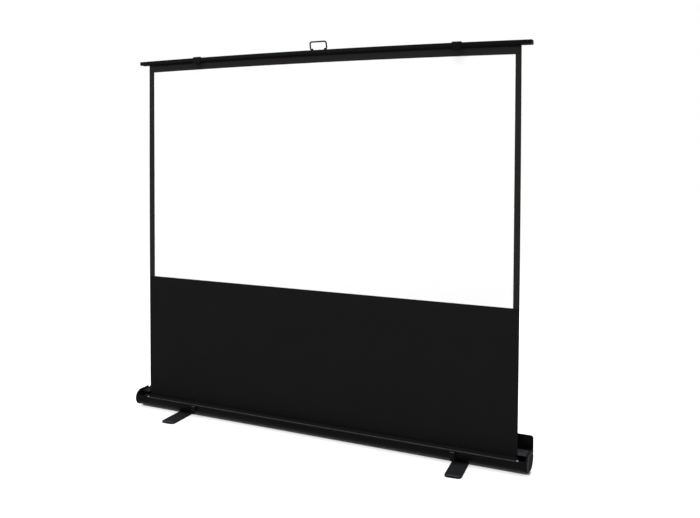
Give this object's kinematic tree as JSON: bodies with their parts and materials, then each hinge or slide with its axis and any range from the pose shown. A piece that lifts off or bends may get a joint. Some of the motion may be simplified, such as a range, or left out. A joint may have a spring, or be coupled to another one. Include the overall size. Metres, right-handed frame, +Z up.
{
  "type": "portable projector screen",
  "caption": "Pull-up projector screen: a sheet on a spring roller in a floor case, raised by two geared elbow arms, on swivel feet.",
  "frame": {"origin": "on the floor under the middle of the case, midway between the two feet, in the plane of the sheet", "axes": "+X along the case to the viewer's right, +Y away from the viewer behind the sheet, +Z up"},
  "size_m": [2.404, 0.4324, 2.1826],
  "materials": {
    "case_paint": "semi-gloss black powder coat on extruded aluminium",
    "bar_paint": "satin black powder coat on extruded aluminium",
    "arm_paint": "satin black anodised aluminium",
    "black_steel": "black coated pressed steel",
    "bright_steel": "zinc plated steel",
    "aluminium": "plain drawn aluminium",
    "moulded_black": "moulded black plastic with a fine grain",
    "foot_grey": "dark grey moulded plastic with a fine grain",
    "rubber": "black rubber",
    "sheet_white": "matte white projection fabric",
    "sheet_black": "matte black backing of the same fabric"
  },
  "bodies": {
    "case": {"case_shell": "case_paint", "arm_bay_partition": "case_paint", "partition_rail": "case_paint", "rear_cover": "case_paint", "end_cap_left": "moulded_black", "end_cap_right": "moulded_black", "lip_screw_left": "bright_steel", "lip_screw_right": "bright_steel", "foot_bolt_left": "black_steel", "foot_bolt_right": "black_steel", "foot_washer_left": "rubber", "foot_washer_right": "rubber", "roller_holder_left": "moulded_black", "roller_holder_right": "moulded_black", "spring_axle": "bright_steel", "idle_pin": "bright_steel", "spring_anchor": "moulded_black", "roller_spring": "bright_steel", "base_bracket": "black_steel", "base_pin_left": "bright_steel", "base_pin_right": "bright_steel", "latch_base_left": "black_steel", "latch_base_right": "black_steel", "viewing_surface": "sheet_white", "black_border": "sheet_black"},
    "roller": {"roller_tube": "aluminium", "sheet_wraps": "sheet_black", "roller_plug_left": "moulded_black", "roller_plug_right": "moulded_black"},
    "lower_left": {"lower_arm_left": "arm_paint", "base_gear_left": "aluminium", "elbow_pin_left": "bright_steel", "elbow_washer_left": "bright_steel"},
    "upper_left": {"upper_arm_left": "arm_paint", "top_gear_left": "aluminium"},
    "lower_right": {"lower_arm_right": "arm_paint", "base_gear_right": "aluminium", "elbow_pin_right": "bright_steel", "elbow_washer_right": "bright_steel"},
    "upper_right": {"upper_arm_right": "arm_paint", "top_gear_right": "aluminium"},
    "bar": {"top_bar": "bar_paint", "sheet_batten": "aluminium", "bar_end_left": "moulded_black", "bar_end_right": "moulded_black", "top_bracket": "black_steel", "top_pin_left": "bright_steel", "top_pin_right": "bright_steel", "latch_keeper_left": "black_steel", "latch_keeper_right": "black_steel", "handle_ear_left": "black_steel", "handle_ear_right": "black_steel"},
    "handle": {"handle_bail": "black_steel"},
    "latch_left": {"latch_strap_left": "black_steel"},
    "latch_right": {"latch_strap_right": "black_steel"},
    "foot_left_body": {"foot_left": "foot_grey", "foot_left_sole": "rubber"},
    "foot_right_body": {"foot_right": "foot_grey", "foot_right_sole": "rubber"}
  },
  "joints": [
    {"name": "arm_fold", "type": "hinge", "parent": "case", "child": "lower_left", "pos_m": [-0.016, 0.05275, 0.074], "axis": [0, -1, 0], "range_deg": [0, 63.02], "deforming": ["viewing_surface", "black_border"]},
    {"name": "left_elbow", "type": "hinge", "parent": "lower_left", "child": "upper_left", "pos_m": [-0.51166, 0.05275, 1.09025], "axis": [0, 1, 0], "range_deg": [0, 126.04]},
    {"name": "bar_pivot", "type": "hinge", "parent": "upper_left", "child": "bar", "pos_m": [-0.016, 0.05275, 2.1065], "axis": [0, -1, 0], "range_deg": [0, 63.02]},
    {"name": "right_arm_fold", "type": "hinge", "parent": "case", "child": "lower_right", "pos_m": [0.016, 0.05275, 0.074], "axis": [0, 1, 0], "range_deg": [0, 63.02]},
    {"name": "right_elbow", "type": "hinge", "parent": "lower_right", "child": "upper_right", "pos_m": [0.51166, 0.05275, 1.09025], "axis": [0, -1, 0], "range_deg": [0, 126.04]},
    {"name": "roller_spin", "type": "hinge", "parent": "case", "child": "roller", "pos_m": [0, -0.0264, 0.0555], "axis": [-1, 0, 0], "range_deg": [0, 3930]},
    {"name": "handle_hinge", "type": "hinge", "parent": "bar", "child": "handle", "pos_m": [0.027, 0, 2.1385], "axis": [1, 0, 0], "range_deg": [-97, 73]},
    {"name": "latch_left_hinge", "type": "hinge", "parent": "case", "child": "latch_left", "pos_m": [-0.762, -0.07224, 0.07], "axis": [-1, 0, 0], "range_deg": [0, 218]},
    {"name": "latch_right_hinge", "type": "hinge", "parent": "case", "child": "latch_right", "pos_m": [0.828, -0.07224, 0.07], "axis": [-1, 0, 0], "range_deg": [0, 218]},
    {"name": "foot_left_swivel", "type": "hinge", "parent": "case", "child": "foot_left_body", "pos_m": [-0.855, 0, 0.006], "axis": [0, 0, 1], "range_deg": [-3, 87]},
    {"name": "foot_right_swivel", "type": "hinge", "parent": "case", "child": "foot_right_body", "pos_m": [0.855, 0, 0.006], "axis": [0, 0, 1], "range_deg": [-5, 85]}
  ],
  "couplings": [
    {"joint": "left_elbow", "follows": "arm_fold", "ratio": 2},
    {"joint": "bar_pivot", "follows": "arm_fold", "ratio": 1},
    {"joint": "right_arm_fold", "follows": "arm_fold", "ratio": 1},
    {"joint": "right_elbow", "follows": "arm_fold", "ratio": 2},
    {"joint": "roller_spin", "follows": "arm_fold", "ratio": 62.3}
  ]
}
